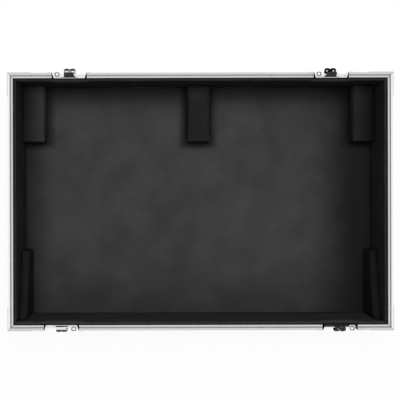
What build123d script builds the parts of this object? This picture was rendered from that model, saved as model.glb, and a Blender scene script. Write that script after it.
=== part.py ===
from build123d import *
import os

# Lower half of a mixer flight case, open side up. Millimetres.
# X runs along the long sides, Y towards the back, Z up. The origin is the centre of the footprint,
# on the surface that the corner caps stand on.

# Driving dimensions of the case half
CASE_W = 980.0  # over the outer faces of the end profiles
CASE_D = 655.0  # over the outer faces of the front and back profiles
CASE_H = 185.0  # underside of the bottom profiles to the top of the rim
CAP_PROUD = 3.2  # corner caps stand this far out of the profiles
PANEL_T = 9.0
FIT = 0.2  # clearance each side of a panel in its slot
TOUCH = 0.3  # clearance of pressed foam to metal

# Double-angle edge profile
PROFILE_T = 1.6
PROFILE_LEG = 30.0
PROFILE_LIP = 22.0
PROFILE_R = 2.0
CORNER_CUT = 30.0  # profiles stop here, under the corner caps

# Rim profile with the locating groove for the lid
RIM_LEG = 30.0
RIM_INNER_LEG = 14.0
RIM_INNER_T = 2.4
RIM_CAP = 6.4
GROOVE_W = 3.4
GROOVE_DEPTH = 5.0
GROOVE_IN = 7.6  # groove centre from the outer face
RIM_EDGE_R = 0.5

# Pressed steel corner parts
CAP_T = 1.6
CAP_LEG = 57.0
CAP_FLANGE = 26.0
CAP_LEG_R = 8.0
CAP_EDGE_R = 3.0
BALL_R = 19.0
BALL_IN = 15.0
BRACE_T = 1.2
BRACE_LEG = 60.0
BRACE_H = 44.0
BRACE_R = 6.0
CAP_RIVETS = ((18.0, 46.0), (46.0, 18.0))  # on each face, from its two arrises
BRACE_RIVETS = ((20.0, -16.0), (48.0, -16.0), (20.0, -37.0))  # on each leg, from the arris and the rim

# Rivets
RIVET_R = 2.0
RIVET_HEAD_R = 4.0
RIVET_HEAD_H = 1.3
RIVET_GAP = 0.1
RIVET_EDGE = 24.5  # row of profile rivets from the outer arris
RIVET_PITCH = 110.0
RIVET_TAIL = 0.1  # the tail stops this far inside the panel

# Foam lining and blocks
FACING_T = 1.7  # felt facing, all that covers the back of a handle dish
FLOOR_LINING_T = 8.0
LINING_BELOW_RIM = 9.0
REAR_BLOCK_W = 60.0
REAR_BLOCK_D = 150.0
REAR_BLOCK_H = 64.0
REAR_BLOCK_TOP_R = 3.0
SIDE_BLOCK_T = 21.0
SIDE_BLOCK_D = 178.0
SIDE_BLOCK_BACK_H = 84.0
SIDE_BLOCK_FRONT_H = 132.0

# Recessed butterfly latch, the half that carries the mechanism
FRONT_LATCH_IN = 136.0  # latch centre from the end of the case
BACK_LATCH_IN = 157.0
SHEET_T = 1.2
LATCH_FLANGE_W = 112.0
LATCH_FLANGE_H = 55.0
LATCH_FLANGE_R = 9.0
DISH_W = 86.0
DISH_H = 44.0
DISH_DEPTH = 12.6
DISH_TAPER = 5.0
DISH_R = 8.0
DISH_CLEAR = 0.6
LATCH_RIVET_IN = 6.0
LATCH_RIVET_V = (-11.0, -40.0)
LATCH_RIVET_U = 27.0

BASE_W = 44.0
BASE_LOW = 37.0
BASE_HIGH = 2.6
BASE_T = 1.5
BASE_R = 3.0
BRIDGE_LOW = 8.2
BRIDGE_HIGH = 3.4
BRIDGE_T = 1.2
PIVOT_V = -22.0
PIVOT_R = 2.5
THROW = 3.0  # eccentricity of the cam
CRANK_PIN_R = 3.0
RUN = 0.2  # running clearance between flat sliding faces
CAM_R = 13.0
CAM_T = 3.0
EAR_U = 8.0
EAR_T = 2.4
EAR_H = 4.6
EAR_W = 5.0
WING_PIN_R = 1.2
WING_PIN_UP = 2.4  # wing pin above the cam's face
WING_SPAN = 30.0
WING_REACH = 18.0
WING_T = 2.0
WING_KNUCKLE_R = 2.0
WING_GAP = 0.3
WING_EYE_R = 4.2
WING_EYE_U = 8.0
WING_EYE_REACH = 10.5
WING_NOTCH_OUT = 2.0  # centre of the finger notch, beyond the wing's edge
PIN_FIT = 0.06
FRONT_WING_OUT = 22.0  # degrees that the wings stand out of the recess
BACK_WING_OUT = 55.0

HOOK_W = 25.0
HOOK_T = 2.0
HOOK_LOW = -32.5
HOOK_BEND_V = 3.4
HOOK_CRANK = 4.6
HOOK_CRANK_V = 3.0
HOOK_TIP_V = 10.0
HOOK_LIP = 4.0
YOKE_GAP = 0.95  # room that the straight-line drive needs over the crank pin
YOKE_SIDE = 0.4

LUG_U = 31.0
LUG_W = 14.0
LUG_T = 2.0
LUG_DROP = 1.0
LUG_FOOT = 14.0
PADLOCK_HOLE_R = 4.0
PADLOCK_HOLE_W = -4.2

# Recessed carrying handle in each end
HANDLE_FLANGE_W = 150.0
HANDLE_FLANGE_H = 100.0
HANDLE_FLANGE_R = 10.0
HANDLE_RIVET_U_IN = 7.0
HANDLE_RIVET_V_IN = 6.5
HANDLE_RIVET_V = (-30.0, 0.0, 30.0)  # down each end of the flange
HANDLE_RIVET_U = (-32.0, 32.0)  # along its top and bottom
HANDLE_DISH_W = 122.0
HANDLE_DISH_H = 74.0
HANDLE_DISH_R = 8.0
HANDLE_DISH_DEPTH = 17.0
HANDLE_PIVOT_UP = 26.0
HANDLE_DROP = 40.0
BAIL_R = 4.0
BAIL_BEND_R = 8.0
BAIL_END_R = 4.5
BAIL_SPAN = 104.0
BAIL_FIT = 0.08
GRIP_R = 6.6
GRIP_L = 80.0
GRIP_RIB_R = 7.0
GRIP_RIB_W = 3.0
GRIP_RIBS = 9
GRIP_GAP = 0.03
SPRING_COIL_R = 5.4  # centre line of the return spring's coil
SPRING_WIRE_R = 0.6
SPRING_PITCH = 1.5
SPRING_TURNS = 2

# Derived sizes
FRONT_LATCH_X = CASE_W / 2 - FRONT_LATCH_IN
BACK_LATCH_X = CASE_W / 2 - BACK_LATCH_IN
HANDLE_V = (PROFILE_LEG - RIM_LEG - CASE_H) / 2  # halfway between the rim's leg and the foot profile
HANDLE_BACK = HANDLE_DISH_DEPTH + TOUCH  # reach of a handle dish, inwards from the panel's face
LINING_T = HANDLE_BACK - PANEL_T + FACING_T
SLOT = PANEL_T + 2 * FIT
CORE = SLOT + 2 * PROFILE_T
RIM_W = PROFILE_T + SLOT + RIM_INNER_T
PANEL_OUT = PROFILE_T + FIT  # outer face of a panel from the outer arris
PANEL_IN = PANEL_OUT + PANEL_T
LINING_IN = PANEL_IN + LINING_T
BASE_Z = CAP_PROUD
TOP_Z = BASE_Z + CASE_H
FLOOR_Z = BASE_Z + PANEL_IN + FLOOR_LINING_T
LINING_TOP_Z = TOP_Z - LINING_BELOW_RIM
DISH_BACK = -DISH_DEPTH
HOOK_W0 = DISH_BACK + BASE_T + RUN  # inner face of the hook plate
HOOK_W1 = HOOK_W0 + HOOK_T
CAM_W0 = HOOK_W1 + RUN
CAM_W1 = CAM_W0 + CAM_T
WING_PIN_W = CAM_W1 + WING_PIN_UP
HANDLE_PIVOT_W = -PANEL_OUT - HANDLE_DISH_DEPTH / 2 + SHEET_T / 2
LATCH_CUT = DISH_W + 2 * SHEET_T + 2 * DISH_CLEAR

LOW = (Align.MIN, Align.MIN)
LOW_HIGH = (Align.MIN, Align.MAX)

# Side frames: u along the side, v up from the rim's top, w outwards from the profiles' outer faces
SIDES = {
    "front": (Plane(origin=(0, -CASE_D / 2, TOP_Z), x_dir=(1, 0, 0), z_dir=(0, -1, 0)), CASE_W),
    "back": (Plane(origin=(0, CASE_D / 2, TOP_Z), x_dir=(-1, 0, 0), z_dir=(0, 1, 0)), CASE_W),
    "left": (Plane(origin=(-CASE_W / 2, 0, TOP_Z), x_dir=(0, -1, 0), z_dir=(-1, 0, 0)), CASE_D),
    "right": (Plane(origin=(CASE_W / 2, 0, TOP_Z), x_dir=(0, 1, 0), z_dir=(1, 0, 0)), CASE_D),
}
LATCH_U = {
    "front": (-FRONT_LATCH_X, FRONT_LATCH_X),
    "back": (-BACK_LATCH_X, BACK_LATCH_X),
    "left": (),
    "right": (),
}
LATCHES = {
    "front_left": ("front", -FRONT_LATCH_X, FRONT_WING_OUT),
    "front_right": ("front", FRONT_LATCH_X, FRONT_WING_OUT),
    "back_left": ("back", BACK_LATCH_X, BACK_WING_OUT),
    "back_right": ("back", -BACK_LATCH_X, BACK_WING_OUT),
}
HAS_HANDLE = ("left", "right")

os.makedirs("parts", exist_ok=True)


def write(shape, name):
    """Labels a finished piece and writes it to its own file."""
    shape.label = name
    export_step(shape, f"parts/{name}.step")


def row(length, pitch, keep_clear=()):
    """Evenly spaced places along a side, apart from those that fall on a latch."""
    count = int(length // pitch)
    places = [(i - count / 2) * length / count for i in range(count + 1)]
    half = LATCH_FLANGE_W / 2 + RIVET_HEAD_R
    return [u for u in places if all(abs(u - centre) > half for centre in keep_clear)]


# Places of the rivets in each side frame, as (u, v)
def profile_rivets(side):
    length = SIDES[side][1]
    inner = length - 2 * (BRACE_LEG + RIVET_EDGE)
    rim = [(u, -RIVET_EDGE) for u in row(inner, RIVET_PITCH, LATCH_U[side])]
    foot = [(u, -CASE_H + RIVET_EDGE) for u in row(inner, RIVET_PITCH)]
    middle = -(BRACE_H + CASE_H - CAP_LEG) / 2
    ends = [(s * (length / 2 - RIVET_EDGE), middle) for s in (-1, 1)]
    return rim + foot + ends


def brace_rivets(side):
    return [(s * (SIDES[side][1] / 2 - u), v) for s in (-1, 1) for u, v in BRACE_RIVETS]


def cap_rivets(edge_u):
    """Places on one flange pair of the corner caps, as (u, distance from the other arris)."""
    return [(s * (edge_u - a), b) for s in (-1, 1) for a, b in CAP_RIVETS]


def latch_rivets(side):
    edge = LATCH_FLANGE_W / 2 - LATCH_RIVET_IN
    low = -LATCH_FLANGE_H + LATCH_RIVET_IN
    spots = [(s * edge, v) for s in (-1, 1) for v in LATCH_RIVET_V]
    spots += [(s * LATCH_RIVET_U, low) for s in (-1, 1)]
    return [(centre + u, v) for centre in LATCH_U[side] for u, v in spots]


def handle_rivets(side):
    if side not in HAS_HANDLE:
        return []
    u_edge = HANDLE_FLANGE_W / 2 - HANDLE_RIVET_U_IN
    v_edge = HANDLE_FLANGE_H / 2 - HANDLE_RIVET_V_IN
    spots = [(s * u_edge, v) for s in (-1, 1) for v in HANDLE_RIVET_V]
    spots += [(u, s * v_edge) for u in HANDLE_RIVET_U for s in (-1, 1)]
    return [(u, HANDLE_V + v) for u, v in spots]


def side_cap_rivets(side):
    return [(u, -CASE_H + b) for u, b in cap_rivets(SIDES[side][1] / 2)]


def side_holes(side):
    """One cylinder through everything that each rivet of a side clamps, in the side frame."""
    spots = profile_rivets(side) + brace_rivets(side) + latch_rivets(side)
    spots += handle_rivets(side) + side_cap_rivets(side)
    with BuildPart() as holes:
        with Locations(*[(u, v, -PANEL_IN + RIVET_TAIL) for u, v in spots]):
            Cylinder(RIVET_R + RIVET_GAP, PANEL_IN + 3 * CAP_T, align=(Align.CENTER, Align.CENTER, Align.MIN))
    return holes.part


# The underside is handled in a frame with u along X, v along -Y and w down
UNDER = Plane(origin=(0, 0, BASE_Z), x_dir=(1, 0, 0), z_dir=(0, 0, -1))


def under_profile_rivets():
    long_row = row(CASE_W - 2 * (BRACE_LEG + RIVET_EDGE), RIVET_PITCH)
    short_row = row(CASE_D - 2 * (BRACE_LEG + RIVET_EDGE), RIVET_PITCH)
    y_edge = CASE_D / 2 - RIVET_EDGE
    x_edge = CASE_W / 2 - RIVET_EDGE
    return [(u, s * y_edge) for u in long_row for s in (-1, 1)] + [
        (s * x_edge, v) for v in short_row for s in (-1, 1)
    ]


def under_cap_rivets():
    return [(u, s * (CASE_D / 2 - b)) for u, b in cap_rivets(CASE_W / 2) for s in (-1, 1)]


def under_holes():
    spots = under_profile_rivets() + under_cap_rivets()
    with BuildPart() as holes:
        with Locations(*[(u, v, -PANEL_IN + RIVET_TAIL) for u, v in spots]):
            Cylinder(RIVET_R + RIVET_GAP, PANEL_IN + 3 * CAP_T, align=(Align.CENTER, Align.CENTER, Align.MIN))
    return holes.part


def rivet(seat):
    """Domed rivet whose head sits at height seat over the face and whose tail ends in the panel."""
    dome_r = (RIVET_HEAD_R**2 + RIVET_HEAD_H**2) / (2 * RIVET_HEAD_H)
    tail = -PANEL_IN + 2 * RIVET_TAIL
    with BuildPart() as piece:
        with BuildSketch(Plane.XZ):
            with BuildLine():
                RadiusArc((RIVET_HEAD_R, seat), (0, seat + RIVET_HEAD_H), -dome_r)
                Polyline(
                    (0, seat + RIVET_HEAD_H), (0, tail), (RIVET_R, tail), (RIVET_R, seat), (RIVET_HEAD_R, seat)
                )
            make_face()
        revolve(axis=Axis.Z)
    return piece.part


def riveted(seat, spots, frame):
    """Copies of one rivet at places of a frame."""
    piece = rivet(seat)
    return [frame.location * Location((u, v, 0)) * piece for u, v in spots]


def group(solids, name):
    write(Compound(children=solids), name)


SIDE_HOLES = {side: side_holes(side) for side in SIDES}
UNDER_HOLES = UNDER.location * under_holes()


# Panels
with BuildPart() as bottom_panel:
    with Locations((0, 0, BASE_Z + PANEL_OUT)):
        Box(
            CASE_W - 2 * (CORE + FIT),
            CASE_D - 2 * (CORE + FIT),
            PANEL_T,
            align=(Align.CENTER, Align.CENTER, Align.MIN),
        )
    add(UNDER_HOLES, mode=Mode.SUBTRACT)
write(bottom_panel.part, "bottom_panel")


def window(depth):
    """Cutter for the handle dish's hole, from the profiles' outer face inwards."""
    grow = 2 * (SHEET_T + DISH_CLEAR)
    with BuildPart() as cutter:
        with BuildSketch(Plane.XY.offset(-depth)):
            with Locations((0, HANDLE_V)):
                RectangleRounded(HANDLE_DISH_W + grow, HANDLE_DISH_H + grow, HANDLE_DISH_R + grow / 2)
        extrude(amount=depth)
    return cutter.part


def side_panel(side):
    """Upright panel in its side frame, notched for the latches and with a window for the handle."""
    length = SIDES[side][1]
    top, bottom = -RIM_CAP - FIT, -CASE_H + CORE + FIT
    with BuildPart() as panel:
        with Locations((0, top, -PANEL_IN)):
            Box(length - 2 * (CORE + FIT), top - bottom, PANEL_T, align=(Align.CENTER, Align.MAX, Align.MIN))
        for centre in LATCH_U[side]:
            with Locations((centre, 0, -PANEL_IN)):
                Box(
                    LATCH_CUT,
                    DISH_H + SHEET_T + DISH_CLEAR,
                    PANEL_T,
                    align=(Align.CENTER, Align.MAX, Align.MIN),
                    mode=Mode.SUBTRACT,
                )
        if side in HAS_HANDLE:
            add(window(PANEL_IN), mode=Mode.SUBTRACT)
        add(SIDE_HOLES[side], mode=Mode.SUBTRACT)
    return panel.part


# Edge profiles
def edge_section():
    """Double-angle section with its outer arris at the sketch origin."""
    with BuildSketch() as section:
        Rectangle(PROFILE_LEG, PROFILE_LEG, align=LOW)
        fillet(section.vertices().sort_by_distance((0, 0))[0], PROFILE_R)
        with Locations((PROFILE_T, PROFILE_T)):
            Rectangle(PROFILE_LEG, PROFILE_LEG, align=LOW, mode=Mode.SUBTRACT)
            Rectangle(SLOT + PROFILE_T, SLOT + PROFILE_T, align=LOW)
            Rectangle(SLOT, SLOT, align=LOW, mode=Mode.SUBTRACT)
        with Locations((CORE - PROFILE_T, CORE - PROFILE_T)):
            Rectangle(PROFILE_LIP - CORE + PROFILE_T, PROFILE_T, align=LOW)
            Rectangle(PROFILE_T, PROFILE_LIP - CORE + PROFILE_T, align=LOW)
    return section.sketch


def foot_profile(side):
    """Bottom edge profile in its side frame."""
    length = SIDES[side][1] - 2 * CORNER_CUT
    start = Plane(origin=(-length / 2, -CASE_H, 0), x_dir=(0, 0, -1), z_dir=(1, 0, 0))
    with BuildPart() as profile:
        with BuildSketch(start):
            add(edge_section())
        extrude(amount=length)
        add(SIDE_HOLES[side], mode=Mode.SUBTRACT)
        add(SIDES[side][0].location.inverse() * UNDER_HOLES, mode=Mode.SUBTRACT)
    return profile.part


def corner_profile(x_sign, y_sign):
    """Upright profile of one corner, between the rim and the corner cap."""
    x_dir = (-x_sign, 0, 0) if x_sign * y_sign > 0 else (0, -y_sign, 0)
    foot = Plane(
        origin=(x_sign * CASE_W / 2, y_sign * CASE_D / 2, BASE_Z + CORNER_CUT), x_dir=x_dir, z_dir=(0, 0, 1)
    )
    x_side, y_side = ("right" if x_sign > 0 else "left"), ("back" if y_sign > 0 else "front")
    with BuildPart() as profile:
        with BuildSketch(foot):
            add(edge_section())
        extrude(amount=CASE_H - CORNER_CUT - RIM_LEG)
        for side in (x_side, y_side):
            add(SIDES[side][0].location * SIDE_HOLES[side], mode=Mode.SUBTRACT)
    return profile.part


def rim_profile(side):
    """Rim profile in its side frame, mitred at both ends and cut away at the latches."""
    length = SIDES[side][1]
    with BuildPart() as rim:
        with BuildSketch(Plane(origin=(-length / 2, 0, 0), x_dir=(0, 0, -1), z_dir=(1, 0, 0))) as section:
            Rectangle(RIM_W, RIM_CAP, align=LOW_HIGH)
            Rectangle(PROFILE_T, RIM_LEG, align=LOW_HIGH)
            with Locations((RIM_W - RIM_INNER_T, 0)):
                Rectangle(RIM_INNER_T, RIM_INNER_LEG, align=LOW_HIGH)
            with Locations((GROOVE_IN, 0)):
                Rectangle(GROOVE_W, GROOVE_DEPTH, align=(Align.CENTER, Align.MAX), mode=Mode.SUBTRACT)
            fillet(section.vertices().group_by(Axis.Y)[-1], RIM_EDGE_R)
        extrude(amount=length)
        with BuildSketch(Plane.XZ):
            with BuildLine():
                Polyline(
                    (-length / 2, 0),
                    (length / 2, 0),
                    (length / 2 - RIM_W, -RIM_W),
                    (-length / 2 + RIM_W, -RIM_W),
                    close=True,
                )
            make_face()
        extrude(amount=RIM_LEG, mode=Mode.INTERSECT)
        for centre in LATCH_U[side]:
            with Locations((centre, 0, 0)):
                Box(LATCH_CUT, 2 * RIM_LEG + 1, 2 * RIM_W + 1, mode=Mode.SUBTRACT)
        add(SIDE_HOLES[side], mode=Mode.SUBTRACT)
    return rim.part


# Steel corners
def cap_outline():
    """The three L-shaped sheets of a corner cap, before its bends and ball are formed."""
    with BuildPart() as outline:
        for face in (Plane.XY, Plane.YZ, Plane.ZX):
            with BuildSketch(face.offset(-CAP_T)) as legs:
                with Locations((-CAP_T, -CAP_T)):
                    Rectangle(CAP_LEG + CAP_T, CAP_FLANGE + CAP_T, align=LOW)
                    Rectangle(CAP_FLANGE + CAP_T, CAP_LEG + CAP_T, align=LOW)
                tips = [v for v in legs.vertices() if max(v.X, v.Y) > CAP_LEG - 1 and min(v.X, v.Y) > 0]
                fillet(tips, CAP_LEG_R)
            extrude(amount=CAP_T)
    return outline.part


def corner_cap():
    """Cap of the corner whose arrises run from the origin along +X, +Y and +Z."""
    size = CAP_LEG + CAP_T
    corner = (-CAP_T, -CAP_T, -CAP_T)
    with BuildPart() as cap:
        with Locations(corner):
            Box(size, size, size, align=(Align.MIN, Align.MIN, Align.MIN))
        fillet(cap.edges().sort_by_distance(corner)[:3], CAP_EDGE_R)
        add(cap_outline(), mode=Mode.INTERSECT)
        with Locations((BALL_IN, BALL_IN, BALL_IN)):
            Sphere(BALL_R)
        Box(CASE_H, CASE_H, CASE_H, align=(Align.MIN, Align.MIN, Align.MIN), mode=Mode.SUBTRACT)
        with Locations((0, 0, -CAP_PROUD)):
            Box(CASE_H, CASE_H, CAP_PROUD, align=(Align.CENTER, Align.CENTER, Align.MAX), mode=Mode.SUBTRACT)
        for face in (Plane.XY, Plane.YZ, Plane.ZX):
            with Locations(*[face.location * Location((a, b, 0)) for a, b in CAP_RIVETS]):
                Cylinder(RIVET_R + RIVET_GAP, 3 * CAP_T, mode=Mode.SUBTRACT)
    return cap.part


def corner_brace():
    """Angle plate over one rim corner, with its arris on the Z axis and legs along +X and +Y."""
    with BuildPart() as brace:
        with BuildSketch(Plane.XY.offset(-BRACE_H)):
            with Locations((-BRACE_T, -BRACE_T)):
                Rectangle(BRACE_LEG + BRACE_T, BRACE_T, align=LOW)
                Rectangle(BRACE_T, BRACE_LEG + BRACE_T, align=LOW)
        extrude(amount=BRACE_H)
        arris = brace.edges().filter_by(Axis.Z).sort_by_distance((-BRACE_T, -BRACE_T, -BRACE_H / 2))[0]
        fillet(arris, PROFILE_R)
        tips = [e for e in brace.edges().filter_by(Axis.X, reverse=True).filter_by(Axis.Z, reverse=True)]
        ends = [e for e in tips if e.length < 2 * BRACE_T and e.center().X > BRACE_LEG - 1]
        ends += [
            e for e in brace.edges().filter_by(Axis.X) if e.length < 2 * BRACE_T and e.center().Y > BRACE_LEG - 1
        ]
        low_ends = [e for e in ends if e.center().Z < -BRACE_H + 1]
        fillet(low_ends, BRACE_R)
        for a, v in BRACE_RIVETS:
            with Locations(Location((a, 0, v), (90, 0, 0)), Location((0, a, v), (0, 90, 0))):
                Cylinder(RIVET_R + RIVET_GAP, 4 * BRACE_T, mode=Mode.SUBTRACT)
    return brace.part


def at_corners(piece, z):
    """The piece mirrored into the four corners of the case, with its arris at height z."""
    first = Location((-CASE_W / 2, -CASE_D / 2, z)) * piece
    pair = [first, first.mirror(Plane.YZ)]
    return pair + [solid.mirror(Plane.XZ) for solid in pair]


# Foam lining
def wall_lining(side):
    """Faced foam sheet against one side panel, relieved around the metal behind it."""
    length = SIDES[side][1]
    ends = PANEL_IN if side in HAS_HANDLE else LINING_IN
    high = -LINING_BELOW_RIM
    low = FLOOR_Z - FLOOR_LINING_T - TOP_Z
    lip = PROFILE_LIP + TOUCH
    core = CORE + TOUCH
    with BuildPart() as foam:
        with Locations((0, high, -LINING_IN)):
            Box(length - 2 * ends, high - low, LINING_T, align=(Align.CENTER, Align.MAX, Align.MIN))
        with Locations((0, 0, -RIM_W - TOUCH)):
            Box(
                length,
                RIM_INNER_LEG + TOUCH,
                RIM_W,
                align=(Align.CENTER, Align.MAX, Align.MIN),
                mode=Mode.SUBTRACT,
            )
        with Locations((0, -CASE_H, -core)):
            Box(length, lip, core, align=(Align.CENTER, Align.MIN, Align.MIN), mode=Mode.SUBTRACT)
        with Locations((0, -CASE_H, -lip)):
            Box(length, core, lip, align=(Align.CENTER, Align.MIN, Align.MIN), mode=Mode.SUBTRACT)
        for end, towards in ((-length / 2, Align.MIN), (length / 2, Align.MAX)):
            with Locations((end, -CASE_H / 2, 0)):
                Box(lip, CASE_H, core, align=(towards, Align.CENTER, Align.MAX), mode=Mode.SUBTRACT)
                Box(core, CASE_H, lip, align=(towards, Align.CENTER, Align.MAX), mode=Mode.SUBTRACT)
            with Locations((end, 0, 0)):
                Box(
                    RIM_W + TOUCH,
                    RIM_INNER_LEG + TOUCH,
                    LINING_IN,
                    align=(towards, Align.MAX, Align.MAX),
                    mode=Mode.SUBTRACT,
                )
        back = DISH_DEPTH + SHEET_T + TOUCH
        for centre in LATCH_U[side]:
            with Locations((centre, 0, -back)):
                Box(
                    LATCH_CUT,
                    DISH_H + SHEET_T + DISH_CLEAR,
                    back,
                    align=(Align.CENTER, Align.MAX, Align.MIN),
                    mode=Mode.SUBTRACT,
                )
    return foam.part


def end_lining(side):
    """An end's foam, laid in four strips round the handle dish, and the facing that bridges the hole."""
    seam = PANEL_OUT + HANDLE_BACK
    sheet = wall_lining(side)
    outer = Plane.XY.offset(-seam)
    foam = split(sheet, bisect_by=outer, keep=Keep.TOP)
    facing = split(sheet, bisect_by=outer, keep=Keep.BOTTOM)
    grow = 2 * (SHEET_T + DISH_CLEAR)
    band = Pos(0, HANDLE_V, 0) * Box(SIDES[side][1], HANDLE_DISH_H + grow, 2 * seam)
    hole = Pos(0, HANDLE_V, 0) * Box(HANDLE_DISH_W + grow, HANDLE_DISH_H + grow, 2 * seam)
    beside = (foam & band) - hole
    return (foam - band).solids() + beside.solids() + facing.solids()


with BuildPart() as floor_lining:
    with Locations((0, 0, FLOOR_Z)):
        Box(
            CASE_W - 2 * LINING_IN,
            CASE_D - 2 * LINING_IN,
            FLOOR_LINING_T,
            align=(Align.CENTER, Align.CENTER, Align.MAX),
        )
    with BuildSketch(Plane.XY.offset(BASE_Z + CORE + TOUCH)):
        Rectangle(CASE_W, CASE_D)
        Rectangle(CASE_W - 2 * (PROFILE_LIP + TOUCH), CASE_D - 2 * (PROFILE_LIP + TOUCH), mode=Mode.SUBTRACT)
    extrude(amount=-PANEL_T, mode=Mode.SUBTRACT)
write(floor_lining.part, "floor_lining")


def rear_block():
    """Support block on the floor, back end at the origin and running towards -Y."""
    with BuildPart() as block:
        Box(REAR_BLOCK_W, REAR_BLOCK_D, REAR_BLOCK_H, align=(Align.CENTER, Align.MAX, Align.MIN))
        top = block.edges().group_by(Axis.Z)[-1]
        fillet(top.sort_by(Axis.Y)[0], REAR_BLOCK_TOP_R)
        fillet(block.edges().filter_by(Axis.Y).group_by(Axis.Z)[-1], REAR_BLOCK_TOP_R / 2)
    return block.part


def side_block():
    """Wedge block for a front corner, back face on the YZ plane, front end at the origin."""
    with BuildPart() as block:
        with BuildSketch(Plane.YZ):
            with BuildLine():
                Polyline(
                    (0, 0),
                    (SIDE_BLOCK_D, 0),
                    (SIDE_BLOCK_D, SIDE_BLOCK_BACK_H),
                    (0, SIDE_BLOCK_FRONT_H),
                    close=True,
                )
            make_face()
        extrude(amount=SIDE_BLOCK_T)
    return block.part


# Latch pieces, in a frame with u across, v up from the parting line and w outwards
def dish_face(shrink, grow):
    """Opening of the latch dish at one depth, running past the parting line."""
    low = DISH_H - shrink + grow
    width = DISH_W - 2 * shrink + 2 * grow
    with BuildSketch() as face:
        with Locations((0, -low)):
            Rectangle(width, 2 * low, align=(Align.CENTER, Align.MIN))
        fillet(face.vertices(), DISH_R)
    return face.sketch


def latch_dish():
    """Pressed dish with its flange, open at the parting line."""
    with BuildPart() as dish:
        with BuildSketch(Plane.XY) as flange:
            with Locations((0, -LATCH_FLANGE_H)):
                Rectangle(LATCH_FLANGE_W, LATCH_FLANGE_H, align=(Align.CENTER, Align.MIN))
            fillet(flange.vertices().group_by(Axis.Y)[0], LATCH_FLANGE_R)
        extrude(amount=SHEET_T)
        loft(
            [
                Plane.XY.offset(SHEET_T).location * dish_face(0, SHEET_T),
                Plane.XY.offset(DISH_BACK - SHEET_T).location * dish_face(DISH_TAPER, SHEET_T),
            ]
        )
        loft(
            [
                Plane.XY.offset(SHEET_T).location * dish_face(0, 0),
                Plane.XY.offset(DISH_BACK).location * dish_face(DISH_TAPER, 0),
            ],
            mode=Mode.SUBTRACT,
        )
        split(bisect_by=Plane.XZ, keep=Keep.TOP)
        spots = [(u, v) for u, v in latch_rivets("front") if u < 0]
        with Locations(*[(u + FRONT_LATCH_X, v, 0) for u, v in spots]):
            Cylinder(RIVET_R + RIVET_GAP, 3 * SHEET_T, mode=Mode.SUBTRACT)
    return dish.part


def latch_base():
    """Steel base plate on the dish's back, with the bridge that guides the hook plate."""
    inside = HOOK_W1 + RUN - DISH_BACK - BASE_T / 2
    ear_in = HOOK_W / 2 + RUN
    ear_out = ear_in + BRIDGE_T + RUN
    with BuildPart() as base:
        with BuildSketch(Plane.XY.offset(DISH_BACK)) as plate:
            with Locations((0, -BASE_LOW)):
                Rectangle(BASE_W, BASE_LOW - BASE_HIGH, align=(Align.CENTER, Align.MIN))
            fillet(plate.vertices(), BASE_R)
            with Locations((0, PIVOT_V)):
                Circle(PIVOT_R + PIN_FIT, mode=Mode.SUBTRACT)
        extrude(amount=BASE_T)
        with BuildSketch(Plane.XZ.offset(BRIDGE_HIGH)):
            with Locations((0, DISH_BACK + BASE_T / 2)):
                Rectangle(2 * ear_out, inside + BRIDGE_T, align=(Align.CENTER, Align.MIN))
                Rectangle(2 * ear_in, inside, align=(Align.CENTER, Align.MIN), mode=Mode.SUBTRACT)
        extrude(amount=BRIDGE_LOW - BRIDGE_HIGH)
    return base.part


def latch_cam():
    """Turning disc with its pivot, crank pin and the two ears that hold the wing's pin."""
    with BuildPart() as cam:
        with BuildSketch(Plane.XY.offset(CAM_W0)):
            with Locations((0, PIVOT_V)):
                Circle(CAM_R)
        extrude(amount=CAM_T)
        with BuildSketch(Plane.XY.offset(CAM_W0)):
            with Locations((0, PIVOT_V)):
                Circle(PIVOT_R)
        extrude(amount=DISH_BACK + RUN - CAM_W0)
        with BuildSketch(Plane.XY.offset(CAM_W0)):
            with Locations((0, PIVOT_V + THROW)):
                Circle(CRANK_PIN_R)
        extrude(amount=HOOK_W0 + RUN / 2 - CAM_W0)
        for side in (-1, 1):
            with BuildSketch(Plane.YZ.offset(side * EAR_U - EAR_T / 2)):
                with Locations((PIVOT_V, CAM_W1)):
                    Rectangle(EAR_W, WING_PIN_UP, align=(Align.CENTER, Align.MIN))
                with Locations((PIVOT_V, WING_PIN_W)):
                    Circle(EAR_W / 2)
            extrude(amount=EAR_T)
        with BuildSketch(Plane.YZ.offset(-CAM_R)):
            with Locations((PIVOT_V, WING_PIN_W)):
                Circle(WING_PIN_R + PIN_FIT)
        extrude(amount=2 * CAM_R, mode=Mode.SUBTRACT)
    return cam.part


def wing_pin():
    """Pin through the cam's ears and the wing's knuckle."""
    half = EAR_U + EAR_T / 2
    with BuildPart() as pin:
        with BuildSketch(Plane.YZ.offset(-half)):
            with Locations((PIVOT_V, WING_PIN_W)):
                Circle(WING_PIN_R)
        extrude(amount=2 * half)
    return pin.part


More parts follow.
